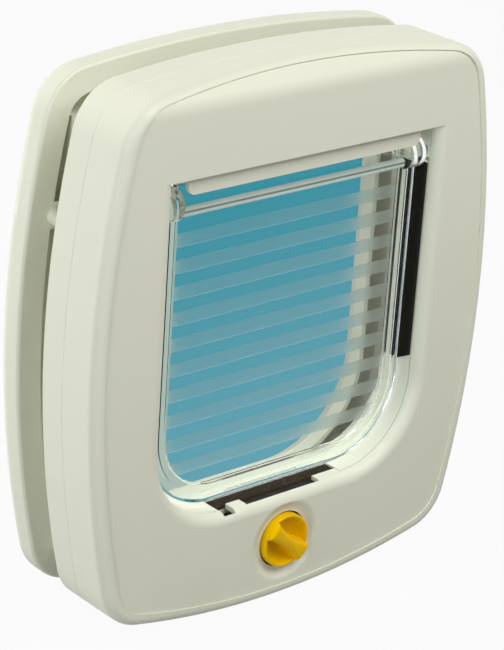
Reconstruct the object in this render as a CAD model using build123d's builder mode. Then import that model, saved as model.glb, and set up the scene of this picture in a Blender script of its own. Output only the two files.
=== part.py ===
from build123d import *
import math
import os

os.makedirs("parts", exist_ok=True)

# Cat flap for a door. Millimetres, +X right, +Y out through the door, +Z up.
# Origin: centre of the passage on the face of the door that looks into the room.

# Outline shared by the inside unit and the outside frame
width = 225.0
height = 252.0
side_bulge = 14.8
top_bulge = 7.3
bottom_bulge = 12.5
corner_radius = 24.0

# Depths along Y
unit_depth = 35.0
door_thickness = 18.0
outside_depth = 15.0
cover_depth = 21.3

# Front cover
wall = 2.5
rim_step = 0.6
rim_radius = 4.4
rim_land = 5.4
rim_top = 2.4
facet_drop = 9.5
facet_softness = 10.0
parting_groove = 0.35
spigot = 2.0
spigot_length = 5.0
seat = 0.2
overrun = 10.0
margin = 1.0
touch = 0.05

# Passage and tunnel
side_border = 37.5
bottom_border = 50.0
top_border = 41.5
head_room = 2.5
tunnel_corner = 39.0
tunnel_set = 9.5
recess_side = 11.0
recess_floor = 4.0
flare_radius = 5.0
throat_straight = 0.4
joint_gap = 0.3

# Outside frame
collar_side = 3.0
collar_floor = 10.0
collar_corner = 45.0
collar_length = 10.2
funnel_depth = 18.5
funnel_flare = 10.0
outside_radius = 7.0
door_edge_radius = 1.5
land_width = 12.0
pocket_depth = 10.0
pillar_radius = 4.0
pillar_length = 8.0

# Flap and its hinge
hinge_depth = 13.2
hinge_drop = 14.5
flap_gap = 2.5
flap_rise = 8.0
pane_thickness = 2.4
rim_thickness = 4.4
flap_rim = 9.0
rim_line = 3.6
rim_line_width = 1.2
rim_line_depth = 0.7
rim_round = 1.2
rim_inner_round = 0.8
ear_radius = 7.4
ear_length = 8.4
ear_gap = 2.0
trunnion_radius = 3.5
trunnion_length = 10.0
trunnion_gap = 0.6
running_gap = 0.05
bead_drop = 4.1
bead_radius = 2.2
stripe_count = 10
stripe_pitch = 11.83
stripe_width = 6.1
stripe_drop = 13.4
stripe_film = 0.15

# Lip over the hinge
lip_side = 9.5
lip_lift = 6.5
lip_thickness = 2.2
lip_corner = 3.5

# Hinge blocks and caps
block_depth = 12.0
block_set = 5.0
block_height = 18.0
cap_thickness = 2.0
cap_height = 12.0

# Draught strips
strip_thickness = 1.7
strip_depth = 14.0
strip_foot = 6.0
strip_gap = 1.0
sill_strip_depth = 6.9
sill_strip_low = 0.6
sill_lip_depth = 9.0
shelf_side = 2.0

# Knob
knob_drop = 22.7
knob_radius = 12.8
knob_proud = 1.0
knob_gap = 0.3
knob_clearance = 0.8
knob_edge = 0.5
bar_angle = -40.0
bar_width = 8.0
bar_proud = 2.6
bar_round = 3.2
bowl_radius = 11.8
bowl_depth = 4.5
bowl_fullness = 0.82
cup_depth = 3.0
dish_depth = 2.0
dish_radius = 20.0
dish_wall = 1.75
dish_land = 0.5

# Rack and pinion
gear_module = 1.0
gear_teeth = 10
rack_teeth = 6
addendum = 0.8
dedendum = 1.05
rack_addendum = 0.75
pressure_angle = math.radians(25)
tooth_thinning = 0.14
knob_half_turn = math.radians(72)
spindle_radius = 3.0
mesh_gap = 0.4
rack_width = 4.7
rack_body = 6.0
rack_end = 0.6

# Stops and their housing
slider_half = 21.0
slider_thickness = 3.0
slider_rest = 1.5
slider_tail = 13.3
slider_slot = 4.0
front_stop = 6.2
rear_stop = 7.3
slide_gap = 0.3
notch_gap = 0.7
notch_room = 1.9
side_notch_width = 6.6
side_notch_edge = 1.6
housing_drop = 8.0
guide_wall = 3.7
guide_depth = 3.0
guide_lip = 1.2
bearing_length = 3.0
washer_rim = 2.0
washer_thickness = 0.8

# Fasteners
upper_screw_inset = 17.0
upper_screw_z = 58.0
lower_screw_inset = 26.5
lower_screw_rise = 28.0
screw_radius = 2.0
screw_gap = 0.25
screw_reach = 9.0
screw_head = 4.2
boss_radius = 6.0
boss_height = 6.0
small_screw = 1.5
small_head = 2.6
small_boss = 4.0
head_height = 2.0
small_length = 8.0
lug_margin = 6.5
bore_gap = 0.05

# Worked out from the sizes above
half_width = width / 2
half_height = height / 2
panel_y = -unit_depth
rim_y = panel_y - rim_step
parting_y = panel_y + cover_depth
back_y = door_thickness + outside_depth
passage_half = half_width - side_border
sill_z = -half_height + bottom_border
panel_top = half_height - top_border
tunnel_top = panel_top + head_room
tunnel_back = -tunnel_set
throat_back = panel_y + flare_radius + throat_straight
tunnel_front = throat_back + joint_gap
funnel_front = back_y - funnel_depth
hinge_y = panel_y + hinge_depth
hinge_z = panel_top - hinge_drop
flap_half = passage_half - flap_gap
flap_bottom = sill_z + flap_gap
ear_outer = passage_half - ear_gap
ear_inner = ear_outer - ear_length
lip_back = panel_y + wall + 2 * joint_gap + lip_thickness
lip_half = passage_half - lip_side
lip_low = hinge_z + lip_lift
bead_z = hinge_z - bead_drop
stripe_top = hinge_z - stripe_drop
cap_in = passage_half + wall + joint_gap
cap_out = ear_outer + trunnion_length + trunnion_gap
cap_screw_x = cap_out + small_boss
block_in = passage_half + wall / 2
block_out = cap_screw_x + small_boss
block_front = hinge_y - block_set
strip_front = tunnel_front + joint_gap
strip_low = sill_z + tunnel_corner + strip_foot
strip_high = hinge_z - trunnion_radius - strip_gap
sill_half = passage_half - tunnel_corner
sill_lip_back = panel_y + sill_lip_depth
sill_strip_front = sill_lip_back + joint_gap
sill_strip_back = sill_strip_front + sill_strip_depth
knob_z = sill_z - knob_drop
dish_floor = panel_y + dish_depth
dish_back = dish_floor + dish_wall
knob_back = dish_floor - knob_gap
knob_front = panel_y - knob_proud
cup_back = knob_back + cup_depth
tooth_pitch = math.pi * gear_module
pinion_radius = gear_module * gear_teeth / 2
travel = pinion_radius * knob_half_turn
front_slider_y = hinge_y - front_stop
rear_slider_y = hinge_y + rear_stop
front_slider_front = front_slider_y - slider_thickness / 2
front_slider_back = front_slider_y + slider_thickness / 2
rear_slider_front = rear_slider_y - slider_thickness / 2
rear_slider_back = rear_slider_y + slider_thickness / 2
slider_top = sill_z - slider_rest
slider_bottom = knob_z - slider_tail
slot_top = knob_z + spindle_radius + travel + 2 * slide_gap
notch_front = front_slider_front - notch_room
side_notch_x = side_notch_width / 2 - sill_half
side_notch_front = panel_y + side_notch_edge
pinion_front = front_slider_back + mesh_gap
pinion_back = rear_slider_front - mesh_gap
housing_top = sill_z - housing_drop
housing_bottom = slider_bottom - travel - 2 * slide_gap
housing_out = slider_half + slide_gap + guide_wall
housing_back = rear_slider_back + slide_gap
bearing_end = housing_back + bearing_length
guide_front = front_slider_front - slide_gap - guide_lip
guide_in = slider_half + slide_gap - guide_depth
spindle_end = bearing_end + slide_gap
washer_back = spindle_end + washer_thickness
lug_x = housing_out + small_boss
knob_axis = Axis((0, 0, knob_z), (0, 1, 0))
upper_screw_x = half_width - upper_screw_inset
lower_screw_x = half_width - lower_screw_inset
lower_screw_z = lower_screw_rise - half_height
fixing_points = [(side * upper_screw_x, upper_screw_z) for side in (-1, 1)]
fixing_points += [(side * lower_screw_x, lower_screw_z) for side in (-1, 1)]
lug_levels = (housing_top - lug_margin, housing_bottom + lug_margin)
lug_points = [(side * lug_x, z) for side in (-1, 1) for z in lug_levels]
cap_points = [(side * cap_screw_x, hinge_z) for side in (-1, 1)]


def at_y(y):
    """Sketch plane facing the room at depth y: sketch x is +X and sketch y is +Z."""
    return Plane.XZ.offset(-y)


def barrel(side=0.0, top=0.0, bottom=0.0, corner=corner_radius):
    """Bulged outline, taken in by the given amounts."""
    x = half_width - side
    zt = half_height - top
    zb = half_height - bottom
    left_top = (-x + side_bulge, zt - top_bulge)
    right_top = (x - side_bulge, zt - top_bulge)
    left_low = (-x + side_bulge, -zb + bottom_bulge)
    right_low = (x - side_bulge, -zb + bottom_bulge)
    with BuildSketch() as outline:
        with BuildLine():
            ThreePointArc(left_top, (0, zt), right_top)
            ThreePointArc(right_top, (x, 0), right_low)
            ThreePointArc(right_low, (0, -zb), left_low)
            ThreePointArc(left_low, (-x, 0), left_top)
        make_face()
        fillet(outline.vertices(), corner)
    return outline.sketch


def inset(shape, amount):
    """The same outline moved in evenly."""
    with BuildSketch() as smaller:
        add(shape)
        offset(amount=-amount, mode=Mode.REPLACE)
    return smaller.sketch


def arch(half, low, high, corner):
    """Upright rectangle with rounded lower corners."""
    with BuildSketch() as outline:
        with Locations((0, (low + high) / 2)):
            Rectangle(2 * half, high - low)
        fillet(outline.vertices().sort_by(Axis.Y)[:2], corner)
    return outline.sketch


def passage(grow=0.0, top=tunnel_top):
    """Tunnel outline with wide lower corners."""
    return arch(passage_half + grow, sill_z - grow, top + grow, tunnel_corner + grow)


def recess(grow=0.0):
    """Outline of the recess round the tunnel's end."""
    side = recess_side + grow
    low = sill_z - recess_floor - grow
    return arch(passage_half + side, low, tunnel_top + side, tunnel_corner + recess_floor + grow)


def collar(grow=0.0):
    """Opening of the outside frame, lower than the tunnel."""
    side = collar_side + grow
    low = sill_z - collar_floor - grow
    return arch(passage_half + side, low, tunnel_top + side, collar_corner + grow)


def flap_outline(shrink=0.0):
    """Flap below its hinge."""
    return arch(flap_half - shrink, flap_bottom + shrink, hinge_z, tunnel_corner - flap_gap - shrink)


def front_profile(front, inward):
    """Side view of what lies behind the front face and its leaning top facet."""
    crease = half_height - facet_drop + inward - inward * math.sqrt(2)
    reach = cover_depth + overrun
    low = -half_height - overrun
    with BuildSketch() as profile:
        with BuildLine():
            Polyline(
                (front, low),
                (front, crease),
                (front + reach, crease + reach),
                (front + reach, low),
                close=True,
            )
        make_face()
        fillet(profile.vertices().group_by(Axis.X)[0].sort_by(Axis.Y)[-1], facet_softness)
    return profile.sketch


def gear_outline():
    """Pinion with involute flanks, one tooth centred on +X."""
    base = pinion_radius * math.cos(pressure_angle)
    tip = pinion_radius + addendum * gear_module
    root = pinion_radius - dedendum * gear_module
    pitch_half = (tooth_pitch / 4 - tooth_thinning) / pinion_radius
    involute = math.tan(pressure_angle) - pressure_angle

    def flank(radius):
        angle = math.acos(base / radius)
        half = pitch_half + involute - (math.tan(angle) - angle)
        return Vector(radius * math.cos(half), radius * math.sin(half))

    foot = flank(base)
    middle = flank((base + tip) / 2)
    crest = flank(tip)
    heel = Vector(root - tooth_thinning, foot.Y)
    with BuildSketch() as tooth:
        with BuildLine():
            Line(heel, foot)
            ThreePointArc(foot, middle, crest)
            ThreePointArc(crest, (tip, 0), (crest.X, -crest.Y))
            ThreePointArc((crest.X, -crest.Y), (middle.X, -middle.Y), (foot.X, -foot.Y))
            Line((foot.X, -foot.Y), (heel.X, -heel.Y))
            Line((heel.X, -heel.Y), heel)
        make_face()
    with BuildSketch() as gear:
        Circle(root)
        with PolarLocations(0, gear_teeth):
            add(tooth.sketch)
    return gear.sketch


def rack_outline():
    """Right-hand rack, teeth towards -X, a gap level with the knob."""
    slope = math.tan(pressure_angle)
    half = tooth_pitch / 4 - tooth_thinning
    tip_x = pinion_radius - rack_addendum * gear_module
    root_x = pinion_radius + gear_module
    tip_half = half - rack_addendum * gear_module * slope
    root_half = half + gear_module * slope
    with BuildSketch() as rack:
        with Locations((root_x + rack_body / 2, knob_z)):
            Rectangle(rack_body, rack_teeth * tooth_pitch + 2 * rack_end)
        for step in range(rack_teeth):
            z = knob_z + (step - (rack_teeth - 1) / 2) * tooth_pitch
            with BuildLine():
                Polyline(
                    (root_x, z + root_half),
                    (tip_x, z + tip_half),
                    (tip_x, z - tip_half),
                    (root_x, z - root_half),
                    close=True,
                )
            make_face()
    return rack.sketch


def slider_outline():
    """Stop plate with a slot for the spindle."""
    with BuildSketch() as plate:
        with Locations((0, (slider_top + slider_bottom) / 2)):
            Rectangle(2 * slider_half, slider_top - slider_bottom)
        with Locations((0, (slot_top + slider_bottom) / 2)):
            Rectangle(2 * slider_slot, slot_top - slider_bottom, mode=Mode.SUBTRACT)
    return plate.sketch


def front_edges(shape):
    """Edges where the front faces meet the side walls."""
    front = shape.faces().filter_by(lambda f: f.normal_at().Y < -0.2)
    sides = shape.faces().filter_by(lambda f: abs(f.normal_at().Y) < 0.01)
    side_edges = sides.edges()
    return [edge for edge in front.edges() if edge in side_edges]


def on_outline(edge, shrink):
    """Whether an edge below the hinge runs along the flap's outline taken in by that much."""
    middle = edge.position_at(0.5)
    lines = flap_outline(shrink).edges()
    apart = min(line.distance_to(Vector(middle.X, middle.Z)) for line in lines)
    return apart < touch and middle.Z < hinge_z - margin


def edges_at(shape, y):
    """Edges lying in the plane at depth y."""
    return shape.edges().filter_by_position(Axis.Y, y - 0.01, y + 0.01)


# Space in front of the recessed panel
with BuildPart() as panel_space:
    with BuildSketch(at_y(parting_y)):
        add(barrel(rim_land, rim_top, rim_land, corner_radius - rim_land))
    extrude(amount=cover_depth + overrun)
    with BuildSketch(Plane.YZ):
        add(front_profile(panel_y, rim_step))
    extrude(amount=width, both=True, mode=Mode.SUBTRACT)

# Hollow of the front cover
with BuildPart() as cover_hollow:
    with BuildSketch(at_y(parting_y)):
        add(inset(barrel(), wall))
    extrude(amount=cover_depth)
    with BuildSketch(Plane.YZ):
        add(front_profile(panel_y + wall, rim_step + wall))
    extrude(amount=width, both=True, mode=Mode.INTERSECT)

# Front cover: bulged shell with flared opening, notched sill lip and knob dish
with BuildPart() as front_cover:
    with BuildSketch(at_y(parting_y)):
        add(barrel())
    extrude(amount=cover_depth + rim_step)
    with BuildSketch(Plane.YZ):
        add(front_profile(rim_y, 0.0))
    extrude(amount=width, both=True, mode=Mode.INTERSECT)
    fillet(front_edges(front_cover.part), rim_radius)
    add(panel_space.part, mode=Mode.SUBTRACT)
    add(cover_hollow.part, mode=Mode.SUBTRACT)
    with BuildSketch(at_y(throat_back)):
        add(passage(wall, panel_top))
    extrude(amount=throat_back - panel_y - wall / 2)
    with BuildSketch(at_y(0)):
        add(passage(0, panel_top))
    extrude(amount=2 * unit_depth, mode=Mode.SUBTRACT)
    flare = edges_at(front_cover.part, panel_y)
    flare = flare.filter_by(lambda e: sill_z - margin < e.center().Z < panel_top - margin)
    flare = flare.filter_by(lambda e: abs(e.center().X) < passage_half + touch)
    fillet(flare, flare_radius)
    # The lip over the hinge stands behind the top edge
    with BuildSketch(at_y(0)):
        with Locations((0, panel_top + wall)):
            Rectangle(2 * passage_half + 3 * wall, 3 * wall)
    extrude(amount=-panel_y - wall, mode=Mode.SUBTRACT)
    with BuildSketch(at_y(sill_lip_back)):
        with Locations((0, sill_z - wall / 2)):
            Rectangle(2 * sill_half, wall)
    extrude(amount=sill_lip_back - panel_y - flare_radius)
    # Dish round the knob
    with BuildSketch(at_y(dish_back)):
        with Locations((0, knob_z)):
            Circle(dish_radius + dish_land)
    extrude(amount=dish_back - panel_y - wall / 2)
    with BuildSketch(Plane.YZ):
        with BuildLine():
            foot = (dish_floor, knob_z + knob_radius + 2 * knob_clearance)
            brim = (panel_y, knob_z + dish_radius)
            Spline(foot, brim, tangents=((0, 1), (0, 1)))
            Polyline(brim, (rim_y, knob_z + dish_radius), (rim_y, knob_z), (dish_floor, knob_z), foot)
        make_face()
    revolve(axis=knob_axis, mode=Mode.SUBTRACT)
    # Notches in the sill for the inner stop and beside it
    with BuildSketch(at_y(sill_lip_back + margin)):
        with Locations((0, sill_z - wall / 2)):
            Rectangle(2 * (slider_half + notch_gap), 2 * wall)
    extrude(amount=sill_lip_back + margin - notch_front, mode=Mode.SUBTRACT)
    with BuildSketch(at_y(sill_lip_back + margin)):
        with Locations((side_notch_x, sill_z - wall / 2)):
            Rectangle(side_notch_width, 2 * wall)
    extrude(amount=sill_lip_back + margin - side_notch_front, mode=Mode.SUBTRACT)
    with BuildSketch(at_y(0)):
        with Locations((0, knob_z)):
            Circle(knob_radius + knob_clearance)
    extrude(amount=2 * unit_depth, mode=Mode.SUBTRACT)

front_cover.part.label = "front_cover"
export_step(front_cover.part, "parts/front_cover.step")

# Base frame: ring that carries the cover, door plate, tunnel, hinge blocks and bosses
with BuildPart() as base_frame:
    with BuildSketch(at_y(0)):
        add(barrel())
    extrude(amount=-parting_y)
    chamfer(edges_at(base_frame.part, parting_y), parting_groove)
    with BuildSketch(at_y(parting_y)):
        add(inset(barrel(), wall + seat))
    extrude(amount=spigot_length)
    with BuildSketch(at_y(parting_y + wall)):
        add(inset(barrel(), wall + seat + spigot))
    extrude(amount=unit_depth, mode=Mode.SUBTRACT)
    with BuildSketch(at_y(-wall)):
        add(inset(barrel(), wall))
    extrude(amount=-parting_y - 2 * wall, mode=Mode.SUBTRACT)
    with BuildSketch(at_y(tunnel_back)):
        add(passage(wall))
    extrude(amount=tunnel_back - tunnel_front)
    with BuildSketch(at_y(0)):
        add(recess(wall))
    extrude(amount=tunnel_set + wall)
    for side in (-1, 1):
        with Locations((side * (block_in + block_out) / 2, block_front + block_depth / 2, hinge_z)):
            Box(block_out - block_in, block_depth, block_height)
    with BuildSketch(at_y(0)):
        with Locations(*fixing_points):
            Circle(boss_radius)
    extrude(amount=boss_height)
    with BuildSketch(at_y(0)):
        with Locations(*lug_points):
            Circle(small_boss)
    extrude(amount=-bearing_end)
    with Locations((0, (sill_lip_back + sill_strip_back) / 2 + joint_gap, sill_z - 1.5 * wall)):
        Box(2 * (sill_half + shelf_side), sill_strip_depth + 2 * joint_gap, wall)
    with BuildSketch(at_y(0)):
        add(recess())
    extrude(amount=tunnel_set, mode=Mode.SUBTRACT)
    with BuildSketch(at_y(tunnel_back)):
        add(passage())
    extrude(amount=2 * unit_depth, mode=Mode.SUBTRACT)
    # Lip that hides the hinge, with rounded lower corners
    with BuildSketch(at_y(lip_back)):
        add(arch(lip_half, lip_low, tunnel_top + wall, lip_corner))
    extrude(amount=lip_thickness)
    with BuildSketch(at_y(tunnel_front)):
        with Locations((0, tunnel_top + wall / 2)):
            Rectangle(2 * lip_half, wall)
    extrude(amount=tunnel_front - lip_back)
    # Room for the cover's sill lip, the sill strip and the outer stop
    with BuildSketch(Plane.XY.offset(sill_z + margin)):
        with Locations((0, (tunnel_front - margin + sill_strip_back + joint_gap) / 2)):
            Rectangle(2 * sill_half + 2 * joint_gap, sill_strip_back + joint_gap - tunnel_front + margin)
    extrude(amount=-wall - margin, mode=Mode.SUBTRACT)
    with BuildSketch(Plane.XY.offset(sill_z + margin)):
        with Locations((0, rear_slider_y)):
            Rectangle(2 * (slider_half + notch_gap), slider_thickness + 2 * notch_gap)
    extrude(amount=-3 * wall, mode=Mode.SUBTRACT)
    # Trunnion cradles, open towards the room
    for side in (-1, 1):
        with BuildSketch(Plane.YZ.offset(side * (passage_half - margin))):
            with Locations((hinge_y, hinge_z)):
                Circle(trunnion_radius + running_gap)
            with Locations(((hinge_y + panel_y) / 2, hinge_z)):
                Rectangle(hinge_y - panel_y, 2 * (trunnion_radius + running_gap))
        extrude(amount=side * (cap_out - passage_half + margin), mode=Mode.SUBTRACT)
    with BuildSketch(at_y(block_front)):
        with Locations(*cap_points):
            Circle(small_screw + bore_gap)
    extrude(amount=-small_length, mode=Mode.SUBTRACT)
    with BuildSketch(at_y(door_thickness)):
        with Locations(*fixing_points):
            Circle(screw_radius + screw_gap)
    extrude(amount=unit_depth, mode=Mode.SUBTRACT)
    with BuildSketch(at_y(bearing_end)):
        with Locations(*lug_points):
            Circle(small_screw + bore_gap)
    extrude(amount=-small_length, mode=Mode.SUBTRACT)

base_frame.part.label = "base_frame"
export_step(base_frame.part, "parts/base_frame.step")

# Outside frame: rounded frame with a funnel opening and a collar that enters the door
with BuildPart() as outside_frame:
    with BuildSketch(at_y(back_y)):
        add(barrel())
    extrude(amount=outside_depth)
    fillet(edges_at(outside_frame.part, back_y), outside_radius)
    fillet(edges_at(outside_frame.part, door_thickness), door_edge_radius)
    with BuildSketch(at_y(door_thickness)):
        add(inset(barrel(), land_width))
        add(collar(pocket_depth), mode=Mode.SUBTRACT)
        with Locations(*fixing_points):
            Circle(boss_radius, mode=Mode.SUBTRACT)
    extrude(amount=-pocket_depth, mode=Mode.SUBTRACT)
    with BuildSketch(at_y(door_thickness + margin)):
        add(collar(wall))
    extrude(amount=collar_length + margin)
    with BuildSketch(at_y(back_y)):
        add(collar())
    extrude(amount=2 * unit_depth, mode=Mode.SUBTRACT)
    with BuildSketch(at_y(funnel_front)):
        add(collar())
    with BuildSketch(at_y(back_y)):
        add(collar(funnel_flare))
    loft(mode=Mode.SUBTRACT)
    # Pillars that take the fixing screws
    with BuildSketch(at_y(door_thickness + pocket_depth)):
        with Locations(*fixing_points):
            Circle(pillar_radius)
    extrude(amount=pocket_depth + pillar_length)
    with BuildSketch(at_y(door_thickness + pocket_depth)):
        with Locations(*fixing_points):
            Circle(screw_radius + bore_gap)
    extrude(amount=pocket_depth + pillar_length, mode=Mode.SUBTRACT)

outside_frame.part.label = "outside_frame"
export_step(outside_frame.part, "parts/outside_frame.step")

# Thick rim of the flap with rounded edges
with BuildPart() as flap_edge:
    with BuildSketch(at_y(hinge_y + rim_thickness / 2)):
        add(flap_outline())
        add(flap_outline(flap_rim), mode=Mode.SUBTRACT)
    extrude(amount=rim_thickness)
    for y in (hinge_y - rim_thickness / 2, hinge_y + rim_thickness / 2):
        for shrink, radius in ((0.0, rim_round), (flap_rim, rim_inner_round)):
            fillet([e for e in edges_at(flap_edge.part, y) if on_outline(e, shrink)], radius)

# Flap: clear pane with thick rim, cross bead, round ears and trunnions
with BuildPart() as flap_pane:
    with BuildSketch(at_y(hinge_y + pane_thickness / 2)):
        add(flap_outline())
        with Locations((0, hinge_z)):
            Rectangle(2 * ear_inner, 2 * flap_rise)
    extrude(amount=pane_thickness)
    add(flap_edge.part)
    with BuildSketch(at_y(hinge_y - rim_thickness / 2)):
        add(flap_outline(rim_line))
        add(flap_outline(rim_line + rim_line_width), mode=Mode.SUBTRACT)
    extrude(amount=-rim_line_depth, mode=Mode.SUBTRACT)
    with BuildSketch(Plane.YZ.offset(-ear_inner)):
        with Locations((hinge_y - pane_thickness / 2, bead_z)):
            Circle(bead_radius)
    extrude(amount=2 * ear_inner)
    for side in (-1, 1):
        with BuildSketch(Plane.YZ.offset(side * ear_inner)):
            with Locations((hinge_y, hinge_z)):
                Circle(ear_radius)
        extrude(amount=side * ear_length)
        with BuildSketch(Plane.YZ.offset(side * ear_outer)):
            with Locations((hinge_y, hinge_z)):
                Circle(trunnion_radius)
        extrude(amount=side * trunnion_length)

flap_pane.part.label = "flap_pane"
export_step(flap_pane.part, "parts/flap_pane.step")

# Frosted bands on the room side of the pane
with BuildPart() as flap_stripes:
    with BuildSketch(at_y(hinge_y - pane_thickness / 2)):
        for band in range(stripe_count):
            with Locations((0, stripe_top - band * stripe_pitch - stripe_width / 2)):
                Rectangle(2 * (flap_half - flap_rim - joint_gap), stripe_width)
        add(flap_outline(flap_rim + joint_gap), mode=Mode.INTERSECT)
    extrude(amount=stripe_film)

flap_stripes.part.label = "flap_stripes"
export_step(flap_stripes.part, "parts/flap_stripes.step")

# Cap that closes the right-hand trunnion cradle
with BuildPart() as hinge_cap_right:
    with BuildSketch(at_y(block_front)):
        with Locations(((cap_in + block_out) / 2, hinge_z)):
            Rectangle(block_out - cap_in, cap_height)
    extrude(amount=cap_thickness)
    with BuildSketch(at_y(block_front)):
        with Locations(((cap_in + cap_out - seat) / 2, hinge_z)):
            Rectangle(cap_out - seat - cap_in, 2 * (trunnion_radius - seat))
    extrude(amount=block_front - hinge_y)
    with BuildSketch(Plane.YZ.offset(cap_in)):
        with Locations((hinge_y, hinge_z)):
            Circle(trunnion_radius + running_gap)
    extrude(amount=block_out - cap_in, mode=Mode.SUBTRACT)
    with BuildSketch(at_y(block_front)):
        with Locations((cap_screw_x, hinge_z)):
            Circle(small_screw + 2 * bore_gap)
    extrude(amount=cap_thickness, mode=Mode.SUBTRACT)

hinge_cap_right.part.label = "hinge_cap_right"
export_step(hinge_cap_right.part, "parts/hinge_cap_right.step")

# Left-hand cap, mirrored
with BuildPart() as hinge_cap_left:
    mirror(hinge_cap_right.part, about=Plane.YZ)

hinge_cap_left.part.label = "hinge_cap_left"
export_step(hinge_cap_left.part, "parts/hinge_cap_left.step")

# Screws of the two caps
with BuildPart() as hinge_screws:
    with BuildSketch(at_y(block_front - cap_thickness)):
        with Locations(*cap_points):
            Circle(small_head)
    extrude(amount=head_height)
    with BuildSketch(at_y(block_front - cap_thickness)):
        with Locations(*cap_points):
            Circle(small_screw)
    extrude(amount=-small_length)

hinge_screws.part.label = "hinge_screws"
export_step(hinge_screws.part, "parts/hinge_screws.step")

# Draught strip on the right wall of the tunnel
with BuildPart() as draught_strip_right:
    with BuildSketch(Plane.YZ.offset(passage_half)):
        with Locations((strip_front + strip_depth / 2, (strip_low + strip_high) / 2)):
            Rectangle(strip_depth, strip_high - strip_low)
    extrude(amount=-strip_thickness)

draught_strip_right.part.label = "draught_strip_right"
export_step(draught_strip_right.part, "parts/draught_strip_right.step")

# Draught strip on the left wall, mirrored
with BuildPart() as draught_strip_left:
    mirror(draught_strip_right.part, about=Plane.YZ)

draught_strip_left.part.label = "draught_strip_left"
export_step(draught_strip_left.part, "parts/draught_strip_left.step")

# Draught strip laid in the sill under the flap
with BuildPart() as draught_strip_sill:
    with BuildSketch(Plane.XY.offset(sill_z - wall)):
        with Locations((0, sill_strip_front + sill_strip_depth / 2)):
            Rectangle(2 * sill_half, sill_strip_depth)
    extrude(amount=wall - sill_strip_low)

draught_strip_sill.part.label = "draught_strip_sill"
export_step(draught_strip_sill.part, "parts/draught_strip_sill.step")

# Hollow on both sides of the knob's finger bar
with BuildPart() as knob_bowls:
    with BuildSketch(Plane.YZ):
        with BuildLine():
            brim = (knob_front, knob_z + bowl_radius)
            base = (knob_front + bowl_depth, knob_z)
            belly = (knob_front + bowl_fullness * bowl_depth, knob_z + (1 - bowl_fullness / 2) * bowl_radius)
            ThreePointArc(brim, belly, base)
            Polyline(base, (knob_front, knob_z), brim)
        make_face()
    revolve(axis=knob_axis)
    with BuildSketch(at_y(cup_back)):
        with Locations((0, knob_z)):
            Rectangle(3 * knob_radius, bar_width, rotation=bar_angle)
    extrude(amount=unit_depth, mode=Mode.SUBTRACT)

# Finger bar with a rounded crest
with BuildPart() as finger_bar:
    with BuildSketch(at_y(knob_back)):
        with Locations((0, knob_z)):
            SlotOverall(2 * knob_radius, bar_width, rotation=bar_angle)
    extrude(amount=knob_back - knob_front + bar_proud)
    fillet(edges_at(finger_bar.part, knob_front - bar_proud), bar_round)

# Lock knob: rimmed cup with a diagonal finger bar
with BuildPart() as lock_knob:
    with BuildSketch(at_y(cup_back)):
        with Locations((0, knob_z)):
            Circle(knob_radius)
    extrude(amount=cup_back - knob_front)
    chamfer(edges_at(lock_knob.part, knob_front), knob_edge)
    add(knob_bowls.part, mode=Mode.SUBTRACT)
    add(finger_bar.part)
    with BuildSketch(at_y(cup_back)):
        with Locations((0, knob_z)):
            Circle(spindle_radius + bore_gap)
    extrude(amount=cup_depth, mode=Mode.SUBTRACT)

lock_knob.part.label = "lock_knob"
export_step(lock_knob.part, "parts/lock_knob.step")

# Spindle with the pinion that drives both stops
with BuildPart() as lock_spindle:
    with BuildSketch(at_y(spindle_end)):
        with Locations((0, knob_z)):
            Circle(spindle_radius)
    extrude(amount=spindle_end - knob_back)
    with BuildSketch(at_y(pinion_back)):
        with Locations((0, knob_z)):
            add(gear_outline())
    extrude(amount=pinion_back - pinion_front)
    with BuildSketch(at_y(spindle_end)):
        with Locations((0, knob_z)):
            Circle(small_screw + bore_gap)
    extrude(amount=small_length + margin, mode=Mode.SUBTRACT)

lock_spindle.part.label = "lock_spindle"
export_step(lock_spindle.part, "parts/lock_spindle.step")

# Washer on the spindle's end
with BuildPart() as spindle_washer:
    with BuildSketch(at_y(washer_back)):
        with Locations((0, knob_z)):
            Circle(spindle_radius + washer_rim)
            Circle(small_screw + 2 * bore_gap, mode=Mode.SUBTRACT)
    extrude(amount=washer_thickness)

spindle_washer.part.label = "spindle_washer"
export_step(spindle_washer.part, "parts/spindle_washer.step")

# Screw that holds the washer
with BuildPart() as spindle_screw:
    with BuildSketch(at_y(washer_back)):
        with Locations((0, knob_z)):
            Circle(small_head)
    extrude(amount=-head_height)
    with BuildSketch(at_y(washer_back)):
        with Locations((0, knob_z)):
            Circle(small_screw)
    extrude(amount=small_length)

spindle_screw.part.label = "spindle_screw"
export_step(spindle_screw.part, "parts/spindle_screw.step")

# Inner stop: rises in front of the flap, rack on the right of the pinion
with BuildPart() as front_lock_slider:
    with BuildSketch(at_y(front_slider_back)):
        add(slider_outline())
    extrude(amount=slider_thickness)
    with BuildSketch(at_y(front_slider_back)):
        add(rack_outline())
    extrude(amount=-rack_width)

front_lock_slider.part.label = "front_lock_slider"
export_step(front_lock_slider.part, "parts/front_lock_slider.step")

# Outer stop: rises behind the flap, rack on the left of the pinion
with BuildPart() as rear_lock_slider:
    with BuildSketch(at_y(rear_slider_front)):
        add(slider_outline())
    extrude(amount=-slider_thickness)
    with BuildSketch(at_y(rear_slider_front)):
        add(mirror(rack_outline(), about=Plane.YZ))
    extrude(amount=rack_width)

rear_lock_slider.part.label = "rear_lock_slider"
export_step(rear_lock_slider.part, "parts/rear_lock_slider.step")

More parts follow.
